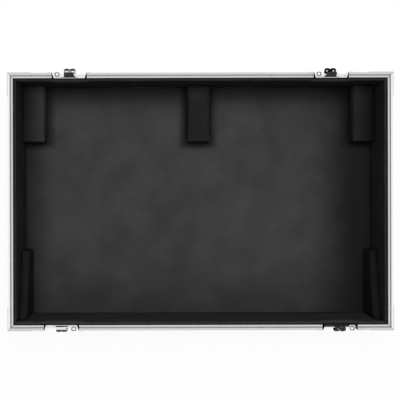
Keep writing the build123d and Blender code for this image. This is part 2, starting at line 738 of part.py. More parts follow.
def latch_wing(out):
    """Folding butterfly wing, standing out degrees from the recess."""
    knuckle = EAR_U - EAR_T / 2 - WING_GAP
    with BuildPart() as wing:
        with BuildSketch(Plane.XY.offset(-WING_T / 2)) as plate:
            with Locations((0, EAR_W / 2 + WING_GAP)):
                Rectangle(WING_SPAN, WING_REACH - EAR_W / 2 - WING_GAP, align=(Align.CENTER, Align.MIN))
            fillet(plate.vertices().group_by(Axis.Y)[-1], WING_REACH / 3)
            fillet(plate.vertices().group_by(Axis.Y)[0], WING_T)
            Rectangle(2 * knuckle, EAR_W, align=(Align.CENTER, Align.MIN))
            with Locations((0, WING_REACH + WING_NOTCH_OUT)):
                Circle(WING_EYE_R, mode=Mode.SUBTRACT)
            with Locations((-WING_EYE_U, WING_EYE_REACH), (WING_EYE_U, WING_EYE_REACH)):
                Circle(WING_EYE_R / 2, mode=Mode.SUBTRACT)
        extrude(amount=WING_T)
        with BuildSketch(Plane.YZ.offset(-knuckle)):
            Circle(WING_KNUCKLE_R)
        extrude(amount=2 * knuckle)
        with BuildSketch(Plane.YZ.offset(-WING_SPAN)):
            Circle(WING_PIN_R + PIN_FIT)
        extrude(amount=2 * WING_SPAN, mode=Mode.SUBTRACT)
    return Location((0, PIVOT_V, WING_PIN_W), (out, 0, 0)) * wing.part


def latch_hook():
    """Sliding hook plate with the yoke window for the crank pin and a cranked, turned-out tip."""
    yoke_v = PIVOT_V + THROW
    with BuildPart() as hook:
        with BuildSketch(Plane.YZ.offset(-HOOK_W / 2)):
            with BuildLine():
                bend = HOOK_BEND_V + HOOK_CRANK_V
                crank = HOOK_W1 + HOOK_CRANK
                Polyline(
                    (HOOK_LOW, HOOK_W0),
                    (HOOK_BEND_V, HOOK_W0),
                    (bend, HOOK_W0 + HOOK_CRANK),
                    (HOOK_TIP_V, HOOK_W0 + HOOK_CRANK),
                    (HOOK_TIP_V, crank + HOOK_LIP),
                    (HOOK_TIP_V - HOOK_T, crank + HOOK_LIP),
                    (HOOK_TIP_V - HOOK_T, crank),
                    (bend, crank),
                    (HOOK_BEND_V, HOOK_W1),
                    (HOOK_LOW, HOOK_W1),
                    close=True,
                )
            make_face()
        extrude(amount=HOOK_W)
        with BuildSketch(Plane.XY.offset(HOOK_W0)):
            reach = CRANK_PIN_R + YOKE_GAP
            with Locations((-THROW / 2, yoke_v)):
                Rectangle(THROW + 2 * (CRANK_PIN_R + YOKE_SIDE), 2 * reach)
            with Locations((0, yoke_v)):
                Rectangle(2 * (PIVOT_R + YOKE_SIDE), 2 * (THROW + PIVOT_R + YOKE_SIDE))
        extrude(amount=HOOK_T, mode=Mode.SUBTRACT)
    return hook.part


def padlock_lug():
    """Bent tab at the parting line whose hole takes a padlock together with the lid's tab."""
    with BuildPart() as lug:
        with Locations((LUG_U, -LUG_DROP, DISH_BACK)):
            Box(LUG_W, LUG_T, DISH_DEPTH + SHEET_T, align=(Align.CENTER, Align.MAX, Align.MIN))
            Box(LUG_W, LUG_FOOT, LUG_T, align=(Align.CENTER, Align.MAX, Align.MIN))
        with BuildSketch(Plane.XZ.offset(LUG_DROP)):
            with Locations((LUG_U, PADLOCK_HOLE_W)):
                Circle(PADLOCK_HOLE_R)
        extrude(amount=LUG_T, mode=Mode.SUBTRACT)
        outer = lug.edges().filter_by(Axis.Y).group_by(Axis.Z)[-1]
        fillet(outer, LUG_T)
    return lug.part


# Handle pieces, in the side frame of an end
def handle_dish():
    """Pressed dish with its flange on the panel, and pivot holes in its end walls."""
    face = Plane.XY.offset(-PANEL_OUT)
    depth = HANDLE_DISH_DEPTH
    with BuildPart() as dish:
        with BuildSketch(face):
            with Locations((0, HANDLE_V)):
                RectangleRounded(HANDLE_FLANGE_W, HANDLE_FLANGE_H, HANDLE_FLANGE_R)
        extrude(amount=SHEET_T)
        with BuildSketch(face):
            with Locations((0, HANDLE_V)):
                RectangleRounded(HANDLE_DISH_W + 2 * SHEET_T, HANDLE_DISH_H + 2 * SHEET_T, HANDLE_DISH_R + SHEET_T)
        extrude(amount=-depth)
        with BuildSketch(face.offset(SHEET_T)):
            with Locations((0, HANDLE_V)):
                RectangleRounded(HANDLE_DISH_W, HANDLE_DISH_H, HANDLE_DISH_R)
        extrude(amount=-depth, mode=Mode.SUBTRACT)
        with BuildSketch(Plane.YZ.offset(-HANDLE_DISH_W)):
            with Locations((HANDLE_V + HANDLE_PIVOT_UP, HANDLE_PIVOT_W)):
                Circle(BAIL_R + BAIL_FIT)
        extrude(amount=2 * HANDLE_DISH_W, mode=Mode.SUBTRACT)
        with Locations(*[(u, v, -PANEL_OUT) for u, v in handle_rivets("left")]):
            Cylinder(RIVET_R + RIVET_GAP, 3 * SHEET_T, mode=Mode.SUBTRACT)
    return dish.part


def handle_bail():
    """Bent steel rod that hangs in the dish and swings out, its ends turned into the dish's end walls."""
    top = HANDLE_V + HANDLE_PIVOT_UP
    end = HANDLE_DISH_W / 2 + SHEET_T
    leg = BAIL_SPAN / 2
    with BuildPart() as bail:
        with BuildLine(Plane.XY.offset(HANDLE_PIVOT_W)):
            FilletPolyline(
                (-end, top),
                (-leg, top),
                (-leg, top - HANDLE_DROP),
                (leg, top - HANDLE_DROP),
                (leg, top),
                (end, top),
                radius=[BAIL_END_R, BAIL_BEND_R, BAIL_BEND_R, BAIL_END_R],
            )
        with BuildSketch(Plane(origin=(-end, top, HANDLE_PIVOT_W), z_dir=(1, 0, 0))):
            Circle(BAIL_R)
        sweep()
    return bail.part


def handle_grip():
    """Ribbed rubber sleeve on the bail's cross bar."""
    low = HANDLE_V + HANDLE_PIVOT_UP - HANDLE_DROP
    pitch = GRIP_L / GRIP_RIBS
    bar = Plane(origin=(-GRIP_L / 2, low, HANDLE_PIVOT_W), z_dir=(1, 0, 0))
    with BuildPart() as grip:
        with BuildSketch(bar):
            Circle(GRIP_R)
        extrude(amount=GRIP_L)
        for i in range(GRIP_RIBS):
            with BuildSketch(bar.offset((i + 0.5) * pitch - GRIP_RIB_W / 2)):
                Circle(GRIP_RIB_R)
            extrude(amount=GRIP_RIB_W)
        with BuildSketch(bar):
            Circle(BAIL_R + GRIP_GAP)
        extrude(amount=GRIP_L, mode=Mode.SUBTRACT)
    return grip.part


def handle_springs():
    """Two return springs, one round each turned end of the bail."""
    top = HANDLE_V + HANDLE_PIVOT_UP
    length = SPRING_PITCH * SPRING_TURNS
    start = HANDLE_DISH_W / 2 - RUN - SPRING_WIRE_R - length
    with BuildPart() as spring:
        with BuildLine() as wire:
            Helix(
                pitch=SPRING_PITCH,
                height=length,
                radius=SPRING_COIL_R,
                center=(start, top, HANDLE_PIVOT_W),
                direction=(1, 0, 0),
            )
        with BuildSketch(Plane(origin=wire.line @ 0, z_dir=wire.line % 0)):
            Circle(SPRING_WIRE_R)
        sweep(is_frenet=True)
    return [spring.part, spring.part.mirror(Plane.YZ)]


# Sides
for side, (frame, _) in SIDES.items():
    write(frame.location * side_panel(side), f"{side}_panel")
    write(frame.location * foot_profile(side), f"{side}_foot_profile")
    write(frame.location * rim_profile(side), f"{side}_rim_profile")
    if side in HAS_HANDLE:
        group([frame.location * sheet for sheet in end_lining(side)], f"{side}_lining")
    else:
        write(frame.location * wall_lining(side), f"{side}_lining")

group([corner_profile(x, y) for x in (-1, 1) for y in (-1, 1)], "corner_profiles")
group(at_corners(corner_cap(), BASE_Z), "corner_caps")
group(at_corners(corner_brace(), TOP_Z), "rim_corner_braces")

# Foam blocks
back_y = CASE_D / 2 - LINING_IN
wall_x = CASE_W / 2 - LINING_IN
for name, x in (("left", -wall_x + REAR_BLOCK_W / 2), ("centre", 0), ("right", wall_x - REAR_BLOCK_W / 2)):
    write(Location((x, back_y, FLOOR_Z)) * rear_block(), f"rear_block_{name}")
left_block = Location((-wall_x, -back_y, FLOOR_Z)) * side_block()
write(left_block, "side_block_left")
write(left_block.mirror(Plane.YZ), "side_block_right")

# Latches
bases, lugs = [], []
for name, (side, u, out) in LATCHES.items():
    seat = SIDES[side][0].location * Location((u, 0, 0))
    write(seat * latch_dish(), f"latch_dish_{name}")
    write(seat * latch_hook(), f"latch_hook_{name}")
    write(seat * latch_wing(out), f"latch_wing_{name}")
    group([seat * latch_cam(), seat * wing_pin()], f"latch_cam_{name}")
    bases.append(seat * latch_base())
    lugs.append(seat * padlock_lug())
group(bases, "latch_base_plates")
group(lugs, "padlock_lugs")

# Handles
springs = []
for side in HAS_HANDLE:
    frame = SIDES[side][0]
    springs += [frame.location * spring for spring in handle_springs()]
    write(frame.location * handle_dish(), f"handle_dish_{side}")
    write(frame.location * handle_bail(), f"handle_bail_{side}")
    write(frame.location * handle_grip(), f"handle_grip_{side}")
group(springs, "handle_springs")

# Rivets
edge_rivets, corner_rivets, latch_dish_rivets, handle_dish_rivets = [], [], [], []
for side, (frame, _) in SIDES.items():
    edge_rivets += riveted(0, profile_rivets(side), frame)
    corner_rivets += riveted(BRACE_T, brace_rivets(side), frame)
    corner_rivets += riveted(CAP_T, side_cap_rivets(side), frame)
    latch_dish_rivets += riveted(SHEET_T, latch_rivets(side), frame)
    handle_dish_rivets += riveted(SHEET_T - PANEL_OUT, handle_rivets(side), frame)
edge_rivets += riveted(0, under_profile_rivets(), UNDER)
corner_rivets += riveted(CAP_T, under_cap_rivets(), UNDER)
group(edge_rivets, "edge_rivets")
group(corner_rivets, "corner_rivets")
group(latch_dish_rivets, "latch_rivets")
group(handle_dish_rivets, "handle_rivets")
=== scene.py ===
import math

import bpy
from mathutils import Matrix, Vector, noise


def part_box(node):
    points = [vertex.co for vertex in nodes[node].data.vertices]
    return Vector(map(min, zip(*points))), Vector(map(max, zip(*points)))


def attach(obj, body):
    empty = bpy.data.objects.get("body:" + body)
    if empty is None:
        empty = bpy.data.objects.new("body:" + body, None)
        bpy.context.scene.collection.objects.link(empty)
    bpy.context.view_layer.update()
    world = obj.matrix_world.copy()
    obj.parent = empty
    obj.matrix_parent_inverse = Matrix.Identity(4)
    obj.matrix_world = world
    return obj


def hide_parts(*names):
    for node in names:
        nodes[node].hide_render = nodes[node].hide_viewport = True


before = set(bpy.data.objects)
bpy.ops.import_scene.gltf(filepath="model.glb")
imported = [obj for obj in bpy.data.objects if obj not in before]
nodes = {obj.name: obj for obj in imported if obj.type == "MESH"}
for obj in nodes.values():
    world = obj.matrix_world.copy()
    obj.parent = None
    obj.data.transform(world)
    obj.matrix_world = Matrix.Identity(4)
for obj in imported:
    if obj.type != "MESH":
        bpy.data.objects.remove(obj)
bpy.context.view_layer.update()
MM = 0.001


# Plywood panels
# Five boards of 9 mm birch plywood, faced on both sides with a black phenolic film. The film has a fine
# pebbled grain, and it goes pale and smooth where other cases have rubbed against it.
class Socket:
    """One output of a shader node. An expression on it adds the Math nodes that work it out."""

    def __init__(self, shading, output):
        self.shading = shading
        self.output = output

    def __add__(self, other):
        return self.shading.math("ADD", self, other)

    def __radd__(self, other):
        return self.shading.math("ADD", other, self)

    def __sub__(self, other):
        return self.shading.math("SUBTRACT", self, other)

    def __rsub__(self, other):
        return self.shading.math("SUBTRACT", other, self)

    def __mul__(self, other):
        return self.shading.math("MULTIPLY", self, other)

    def __rmul__(self, other):
        return self.shading.math("MULTIPLY", other, self)

    def __abs__(self):
        return self.shading.math("ABSOLUTE", self)


class Shading:
    """A tree of shader nodes, for a finish or for the room."""

    def __init__(self, tree):
        self.tree = tree

    def node(self, kind, settings=None, inputs=None, out=0):
        made = self.tree.nodes.new(kind)
        for setting, value in (settings or {}).items():
            setattr(made, setting, value)
        for socket, value in (inputs or {}).items():
            if isinstance(value, Socket):
                self.tree.links.new(value.output, made.inputs[socket])
            else:
                made.inputs[socket].default_value = value
        return Socket(self, made.outputs[out])

    def math(self, operation, first, second=0.0):
        return self.node("ShaderNodeMath", {"operation": operation}, {0: first, 1: second})

    def step(self, value, low, high, first=0.0, last=1.0):
        """Smooth change from first to last while value goes from low to high."""
        inputs = {0: value, 1: low, 2: high, 3: first, 4: last}
        return self.node("ShaderNodeMapRange", {"interpolation_type": "SMOOTHSTEP"}, inputs)

    def rays(self, *kinds):
        """1 for the kinds of ray that are named, 0 for all others."""
        seen = [self.node("ShaderNodeLightPath", out=f"Is {kind} Ray") for kind in kinds]
        return sum(seen[1:], seen[0])


class Finish(Shading):
    """A material that ends in one Principled surface. What is the same all over is given at the start."""

    def __init__(self, name, **constants):
        self.material = bpy.data.materials.new(name)
        self.material.use_nodes = True
        super().__init__(self.material.node_tree)
        self.surface = self.tree.nodes["Principled BSDF"]
        for socket, value in constants.items():
            self.surface.inputs[socket.replace("_", " ")].default_value = value
        self.place = self.node("ShaderNodeTexCoord", out="Object")

    def stretched(self, x, y, z):
        """Places on the surface, counted in features per metre along each axis."""
        return self.node("ShaderNodeVectorMath", {"operation": "MULTIPLY"}, {0: self.place, 1: (x, y, z)})

    def axes(self):
        """How far along X, Y and Z each place on the surface lies."""
        parts = self.node("ShaderNodeSeparateXYZ", None, {0: self.place}).output.node
        return [Socket(self, output) for output in parts.outputs]

    def clouds(self, x, y, z, detail=3.0, rough=0.5):
        inputs = {"Vector": self.stretched(x, y, z), "Scale": 1.0, "Detail": detail, "Roughness": rough}
        return self.node("ShaderNodeTexNoise", None, inputs)

    def cells(self, x, y, z):
        """Distance to the nearest of many scattered points."""
        return self.node("ShaderNodeTexVoronoi", None, {"Vector": self.stretched(x, y, z), "Scale": 1.0})

    def tint(self, amount, first, second):
        """Colour between first and second."""
        first, second = [c if isinstance(c, Socket) else (*c, 1.0) for c in (first, second)]
        return self.node("ShaderNodeMix", {"data_type": "RGBA"}, {0: amount, 6: first, 7: second}, 2)

    def bump(self, height, distance, strength=1.0):
        inputs = {"Height": height, "Distance": distance, "Strength": strength}
        return self.node("ShaderNodeBump", None, inputs)

    def ends_in(self, **links):
        for socket, value in links.items():
            self.tree.links.new(value.output, self.surface.inputs[socket.replace("_", " ")])
        return self.material


def dress(material, *names):
    """Gives CAD nodes their finish."""
    for name in names:
        for slot in nodes[name].material_slots:
            slot.material = material


def laminate():
    film = Finish("black_phenolic_film", IOR=1.5)
    pebbles = film.cells(1100, 1100, 1100)
    rubbed_and_painted_light = film.step(film.clouds(26, 26, 60, 5.0, 0.62), 0.58, 0.74)
    hairlines = film.step(film.clouds(30, 30, 900, 2.0), 0.66, 0.72)
    scratches = hairlines * film.step(film.clouds(9, 9, 9), 0.5, 0.62)
    worn_and_painted_light = rubbed_and_painted_light * 0.5 + scratches * 0.5
    colour = film.tint(worn_and_painted_light, (0.016, 0.016, 0.017), (0.062, 0.062, 0.064))
    rough = 0.46 + film.clouds(14, 14, 14) * 0.16 - rubbed_and_painted_light * 0.12
    grain = film.bump(pebbles * (1 - rubbed_and_painted_light * 0.7), 0.12 * MM, 0.7)
    return film.ends_in(Base_Color=colour, Roughness=rough, Normal=grain)


dress(laminate(), *(f"{side}_panel" for side in ("bottom", "front", "back", "left", "right")))


# Edge profiles
# Extruded aluminium double angles that hold the edges of the boards, satin anodised. Die lines run
# along each length, and knocks have left dull spots.
def anodised(name, along, grime_and_painted_shade=None, rubbed_and_painted_light=None):
    """Satin anodised aluminium whose die lines run along one axis. The last two arguments say where old
    grease and painted shade darken it and where painted light makes it paler.
    """
    metal = Finish(name, Metallic=1.0)
    fine, coarse = [1500.0] * 3, [260.0] * 3
    fine[along], coarse[along] = 3.0, 1.2
    lines = metal.clouds(*fine, 2.0)
    bands = metal.clouds(*coarse, 2.0)
    mottle = metal.clouds(16, 16, 16, 5.0, 0.6)
    knocks = metal.step(metal.clouds(75, 75, 75, 4.0, 0.65), 0.63, 0.72)
    colour = metal.tint(bands * 0.5 + mottle * 0.5, (0.56, 0.565, 0.575), (0.72, 0.725, 0.73))
    colour = metal.tint(knocks * 0.5, colour, (0.44, 0.44, 0.45))
    rough = 0.26 + lines * 0.12 + mottle * 0.14 + knocks * 0.12
    # Painted light, where it is given.
    if rubbed_and_painted_light:
        colour = metal.tint(rubbed_and_painted_light(metal), colour, (0.93, 0.93, 0.93))
    # Painted shade and old grease, where they are given.
    if grime_and_painted_shade:
        painted_shade_and_grime = grime_and_painted_shade(metal)
        colour = metal.tint(painted_shade_and_grime, colour, (0.1, 0.1, 0.1))
        rough = rough + painted_shade_and_grime * 0.3
    relief = metal.bump(lines + knocks * -1.5, 0.02 * MM, 0.5)
    return metal.ends_in(Base_Color=colour, Roughness=rough, Normal=relief)


dress(anodised("anodised_aluminium_long", 0), "front_foot_profile", "back_foot_profile")
dress(anodised("anodised_aluminium_short", 1), "left_foot_profile", "right_foot_profile")
dress(anodised("anodised_aluminium_upright", 2), "corner_profiles")


# Rim profiles
# A heavier anodised section round the mouth, mitred at the corners, with a groove in its top for the
# tongue of the lid. The long ones are sawn through at the latches.
GROOVE_IN = 7.6 * MM
GROOVE_HALF = 1.9 * MM
MITRE_HALF = 1.0 * MM
rim_half = Vector((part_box("right_rim_profile")[1].x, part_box("back_rim_profile")[1].y, 0.0))
rim_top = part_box("back_rim_profile")[1].z


def groove_shade_and_mitre_grime(across):
    """Painted shade in the groove, and old grease in the mitre cuts. across is the axis that goes over the
    rim.
    """

    def painted_shade_and_grime(metal):
        x, y, height = metal.axes()
        in_x, in_y = rim_half.x - abs(x), rim_half.y - abs(y)
        off = abs((in_x, in_y)[across] - GROOVE_IN)
        below = metal.step(height, rim_top - 0.2 * MM, rim_top - 1.2 * MM)
        # Painted shade down in the groove; the mitre cuts hold old grease.
        groove = metal.step(off, GROOVE_HALF, GROOVE_HALF - 0.4 * MM) * below * 0.3
        mitre = metal.step(abs(in_x - in_y), MITRE_HALF, 0.3 * MITRE_HALF) * 0.8
        return metal.math("MAXIMUM", groove, mitre)

    return painted_shade_and_grime


def painted_light_on_land(metal):
    """Painted light on the land outside the groove of the end rims."""
    off = rim_half.x - abs(metal.axes()[0])
    return metal.step(off, GROOVE_IN - 1.5 * MM, GROOVE_IN - 3.0 * MM) * 0.85


dress(anodised("rim_aluminium_long", 0, groove_shade_and_mitre_grime(1)), "front_rim_profile", "back_rim_profile")
# The end rims also carry painted light on the land outside the groove.
short_rim = anodised("rim_aluminium_short", 1, groove_shade_and_mitre_grime(0), painted_light_on_land)
dress(short_rim, "left_rim_profile", "right_rim_profile")


# Corner caps and braces
# Pressed from 1.6 and 1.2 mm steel sheet, barrel plated with bright zinc. The plating is faintly
# clouded, and the ball of each cap is scratched by the floor it slides on.
def zinc_plate():
    metal = Finish("zinc_plated_steel", Metallic=1.0)
    bloom = metal.clouds(38, 38, 38, 4.0, 0.6)
    grain = metal.clouds(700, 700, 700, 2.0)
    scuffs = metal.step(metal.clouds(160, 60, 420, 3.0), 0.6, 0.7) * metal.step(bloom, 0.45, 0.6)
    colour = metal.tint(bloom, (0.55, 0.56, 0.575), (0.74, 0.745, 0.75))
    colour = metal.tint(scuffs * 0.6, colour, (0.42, 0.42, 0.43))
    rough = 0.2 + bloom * 0.16 + scuffs * 0.2
    relief = metal.bump(grain - scuffs, 0.02 * MM, 0.4)
    return metal.ends_in(Base_Color=colour, Roughness=rough, Normal=relief)


zinc = zinc_plate()
dress(zinc, "corner_caps", "rim_corner_braces")


# Rivets
# Domed steel rivets, nickel plated, set by machine through metal and board.
def nickel():
    metal = Finish("nickel_plated_rivet", Metallic=1.0)
    dull = metal.clouds(240, 240, 240, 3.0)
    colour = metal.tint(dull, (0.52, 0.52, 0.51), (0.72, 0.72, 0.71))
    return metal.ends_in(Base_Color=colour, Roughness=0.18 + dull * 0.22)


dress(nickel(), "edge_rivets", "corner_rivets", "latch_rivets", "handle_rivets")


# Wall lining
# Sheets of firm foam faced with dark grey velour, glued to the boards. Each stops below the rim, its top
# edge rolled over, and swells a little where a latch or handle dish presses on its back. The front one
# has a paler copy of the velour, painted light.
LINING_THICK = 6.6 * MM
LINING_ROLL = 2.4 * MM
LINING_STEP = 6.0 * MM
LATCH_SWELL = 2.8 * MM
HANDLE_SWELL = 2.4 * MM
HANDLE_PUSH = 5.2 * MM
TOP_SAG = 0.8 * MM


def velour(name, dark, pale, rubbed_and_painted_light=None):
    """Velour between two greys, by its pile. The last argument, where given, scales the tone by place as
    painted light and shade.
    """
    cloth = Finish(name, Specular_IOR_Level=0.04)
    fibres = cloth.clouds(1700, 1700, 1700, 6.0, 0.75)
    tufts = cloth.clouds(330, 330, 330, 4.0, 0.6)
    nap_and_painted_light = cloth.clouds(13, 13, 13, 5.0, 0.55)
    specks = cloth.step(cloth.cells(150, 150, 150), 0.055, 0.03)
    lint = specks * cloth.step(cloth.clouds(60, 60, 60), 0.55, 0.7)
    shade = fibres * 0.4 + tufts * 0.3 + nap_and_painted_light * 0.55 - 0.12
    # Painted light and shade, where it is given.
    if rubbed_and_painted_light:
        shade = shade * rubbed_and_painted_light(cloth)
    colour = cloth.tint(shade, dark, pale)
    colour = cloth.tint(lint * 0.3, colour, (0.2, 0.2, 0.2))
    rough = 0.86 + fibres * 0.14
    pile = cloth.bump(fibres * 0.6 + tufts, 0.5 * MM, 0.65)
    return cloth.ends_in(Base_Color=colour, Roughness=rough, Normal=pile)


felt = velour("charcoal_velour", (0.006, 0.006, 0.0063), (0.032, 0.032, 0.0335))
# A paler copy of the velour, painted light for the front lining.
front_felt_painted_light = velour("velour_painted_lighter", (0.0085, 0.0085, 0.0089), (0.045, 0.045, 0.047))


def smooth(value):
    """Eases a number from 0 to 1."""
    value = min(1.0, max(0.0, value))
    return value * value * (3 - 2 * value)


def plateau(distance, half, fade):
    """1 within half of the middle, easing to 0 over fade."""
    return smooth(1 - (abs(distance) - half) / fade)


def ripple(x, y, z, size, seed):
    """Uneven glue and foam, from 0 to 1."""
    place = Vector((x / size + seed, y / size, z / size))
    return 0.5 + 0.5 * max(-1.0, min(1.0, noise.noise(place) + 0.5 * noise.noise(place * 2.3)))


def spaced(start, end, pitch):
    """Numbers from start to end, both included, about pitch apart."""
    count = max(1, round(abs(end - start) / pitch))
    return [start + (end - start) * i / count for i in range(count + 1)]


def rounded_ends(start, end, pitch, radius):
    """Stations from start to end, close together over the rounding of each end."""
    close = [0.0, 0.08, 0.3, 0.62]
    first = [start + radius * c for c in close]
    last = [end - radius * c for c in reversed(close)]
    return first + spaced(start + radius, end - radius, pitch) + last


def end_drop(place, start, end, radius):
    """How far a rounded end has fallen away at a place along a pad."""
    reach = min(place - start, end - place)
    if reach >= radius:
        return 0.0
    return radius - math.sqrt(max(0.0, radius**2 - (radius - reach) ** 2))


def placed(name, data):
    """An object in the scene for a mesh, a lamp or the camera."""
    made = bpy.data.objects.new(name, data)
    bpy.context.scene.collection.objects.link(made)
    return made


def skin(name, loops, material):
    """Closed mesh through loops of points, each as long as the next, with flat ends."""
    count = len(loops[0])
    points = [tuple(point) for loop in loops for point in loop]
    faces = [tuple(range(count))[::-1], tuple(range(len(points) - count, len(points)))]
    for i in range(len(loops) - 1):
        for j in range(count):
            k = (j + 1) % count
            faces.append((i * count + j, i * count + k, (i + 1) * count + k, (i + 1) * count + j))
    mesh = bpy.data.meshes.new(name)
    mesh.from_pydata(points, [], faces)
    mesh.validate()
    for face in mesh.polygons:
        face.use_smooth = len(face.vertices) == 4
    mesh.materials.append(material)
    return placed(name, mesh)


def soft_piece(piece, node):
    """A foam piece that stands for the plain CAD solid of the same foam."""
    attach(piece, "case")
    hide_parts(node)


def arc(centre_a, centre_b, radius, start, end, count=4):
    """Points on a rounding, in degrees."""
    turns = [math.radians(start + (end - start) * i / count) for i in range(count + 1)]
    return [(centre_a + radius * math.cos(t), centre_b + radius * math.sin(t)) for t in turns]


def wall_lining(side, seed):
    low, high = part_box(f"{side}_lining")
    along = 1 if side in ("left", "right") else 0
    across = 1 - along
    outward = 1 if side in ("right", "back") else -1
    inner = low[across] if outward > 0 else high[across]
    top, foot = high.z, low.z
    latches = [sum(c[along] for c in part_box(n)) / 2 for n in nodes if n.startswith(f"latch_dish_{side}")]
    handle = [(a + b) / 2 for a, b in zip(*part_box(f"handle_dish_{side}"))] if along else None

    def swell(a, z):
        """Swelling of the front, and how far the back is pushed in, at one place."""
        for latch in latches:
            near = plateau(a - latch, 30 * MM, 34 * MM) * plateau(top - z, 30 * MM, 46 * MM)
            if near:
                return LATCH_SWELL * near, 0.0
        if handle:
            behind = plateau(a - handle[1], 64 * MM, 18 * MM) * plateau(z - handle[2], 40 * MM, 16 * MM)
            shown = plateau(a - handle[1], 40 * MM, 70 * MM) * plateau(z - handle[2], 26 * MM, 44 * MM)
            return HANDLE_SWELL * shown, HANDLE_PUSH * behind
        return 0.0, 0.0

    back = [(LINING_THICK, z) for z in spaced(foot, top - LINING_ROLL, LINING_STEP)[:-1]]
    roll_back = arc(LINING_THICK - LINING_ROLL, top - LINING_ROLL, LINING_ROLL, 0, 90)
    roll_front = arc(LINING_ROLL, top - LINING_ROLL, LINING_ROLL, 90, 180)
    front = [(0.0, z) for z in spaced(top - LINING_ROLL, foot, LINING_STEP)[1:]]
    section = back + roll_back + roll_front + front
    loops = []
    for a in rounded_ends(low[along], high[along], LINING_STEP, LINING_ROLL):
        drop = end_drop(a, low[along], high[along], LINING_ROLL)
        loop = []
        for depth, z in section:
            shown, pushed = swell(a, z)
            fore = 1 - depth / LINING_THICK
            uneven = 0.7 * MM * ripple(a, z, 0, 0.11, seed) + 0.25 * MM * ripple(a, z, 0, 0.025, seed)
            d = depth + fore * (uneven + drop - shown) - (1 - fore) * pushed
            sag = TOP_SAG * ripple(a, 0, 0, 0.16, seed + 5) * smooth((z - top + 30 * MM) / (30 * MM))
            point = [0.0, 0.0, z - sag]
            point[along] = a
            point[across] = inner + outward * d
            loop.append(point)
        loops.append(loop)
    piece = skin(f"{side}_velour_lining", loops, front_felt_painted_light if side == "front" else felt)
    soft_piece(piece, f"{side}_lining")


for seed, side in enumerate(("front", "back", "left", "right")):
    wall_lining(side, seed * 7.0)


# Floor lining
# One sheet of the same foam, cut a tight fit between the walls and glued down last. Its edges are
# pinched down a little, and the glue leaves the middle slightly uneven.
FLOOR_THICK = 5.6 * MM
FLOOR_ROLL = 1.6 * MM
FLOOR_STEP = 8.0 * MM
SHADE_BESIDE_BLOCKS = 30 * MM
SHADE_BEFORE_BLOCKS = 22 * MM


def painted_floor_shade(cloth):
    """Painted shade, darkening the floor along the walls and beside and before the blocks."""
    x, y = cloth.axes()[:2]
    low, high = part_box("floor_lining")
    left = cloth.step(x, low.x - 0.01, low.x + 0.085, 0.2, 1.0)
    right = cloth.step(x, high.x - 0.18, high.x - 0.035, 1.0, 0.1)
    back = cloth.step(y, high.y - 0.1, high.y + 0.01, 1.0, 0.3)
    front = cloth.step(y, low.y - 0.02, low.y + 0.17, 0.55, 1.0)
    worn_and_painted_light = left * right * back * front
    for block in ("left", "centre", "right"):
        near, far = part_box(f"rear_block_{block}")
        middle_x, half = (near.x + far.x) / 2, (far.x - near.x) / 2
        beside = cloth.step(abs(x - middle_x), half, half + SHADE_BESIDE_BLOCKS)
        before = cloth.step(y, near.y, near.y - SHADE_BEFORE_BLOCKS)
        worn_and_painted_light = worn_and_painted_light * (0.22 + 0.78 * cloth.math("MAXIMUM", beside, before))
    return worn_and_painted_light


# The floor velour carries painted shade along the walls and beside the blocks.
floor_felt = velour("velour_painted_shade", (0.007, 0.007, 0.0073), (0.073, 0.073, 0.076), painted_floor_shade)


def floor_lining():
    low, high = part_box("floor_lining")
    top = high.z
    under = [(y, top - FLOOR_THICK) for y in spaced(high.y, low.y, FLOOR_STEP)]
    over = [(y, top) for y in rounded_ends(low.y, high.y, FLOOR_STEP, FLOOR_ROLL)]
    loops = []
    for x in rounded_ends(low.x, high.x, FLOOR_STEP, FLOOR_ROLL):
        loop = []
        for y, z in under + over:
            if z == top:
                z -= max(end_drop(x, low.x, high.x, FLOOR_ROLL), end_drop(y, low.y, high.y, FLOOR_ROLL))
                z -= 0.55 * MM * ripple(x, y, 0, 0.15, 31) + 0.2 * MM * ripple(x, y, 0, 0.03, 37)
            loop.append((x, y, z))
        loops.append(loop)
    piece = skin("floor_velour_lining", loops, floor_felt)
    soft_piece(piece, "floor_lining")


floor_lining()


# Support blocks
# Three blocks of dense foam against the back wall carry the raised rear of the mixer. Velour is drawn
# tight round each, and its front end is closed by a second strip folded over onto the top.
BLOCK_ROUND = 4.0 * MM
BLOCK_FOOT_ROUND = 1.2 * MM
BLOCK_STEP = 5.0 * MM
BLOCK_CROWN = 0.9 * MM
BLOCK_WAIST = 0.8 * MM
BLOCK_END_ROUND = 3.0 * MM
BLOCK_CAP = 1.6 * MM
HELD_OVER = 12 * MM
STRIP_LENGTH = 12.0 * MM
STRIP_THICK = 1.3 * MM
STRIP_BEND = 3.2 * MM
STRIP_INSET = 0.6 * MM
SWELL_FRAMES = 20
BLOCK_GREYS = ((0.002, 0.002, 0.0021), (0.045, 0.045, 0.047))


def painted_light_across(low, high, first, last):
    """Painted light and shade across a block, going from first to last."""

    def amount(cloth):
        return cloth.step(cloth.axes()[0], low, high, first, last)

    return amount


def block_section(left, right, foot, top, rounding):
    """Outline of a wrapped block, from its foot up one side, over the top and down."""
    r, f = rounding, BLOCK_FOOT_ROUND
    sides = spaced(foot + f, top - r, BLOCK_STEP)[1:-1]
    outline = arc(right - f, foot + f, f, -90, 0) + [(right, z) for z in sides]
    outline += arc(right - r, top - r, r, 0, 90, 5)
    outline += [(x, top) for x in spaced(right - r, left + r, BLOCK_STEP)[1:-1]]
    outline += arc(left + r, top - r, r, 90, 180, 5) + [(left, z) for z in reversed(sides)]
    return outline + arc(left + f, foot + f, f, 180, 270)


def work_in(piece):
    """Makes what a piece's modifiers show its own mesh, and takes them off."""
    shown = piece.evaluated_get(bpy.context.evaluated_depsgraph_get())
    piece.data = bpy.data.meshes.new_from_object(shown)
    piece.modifiers.clear()


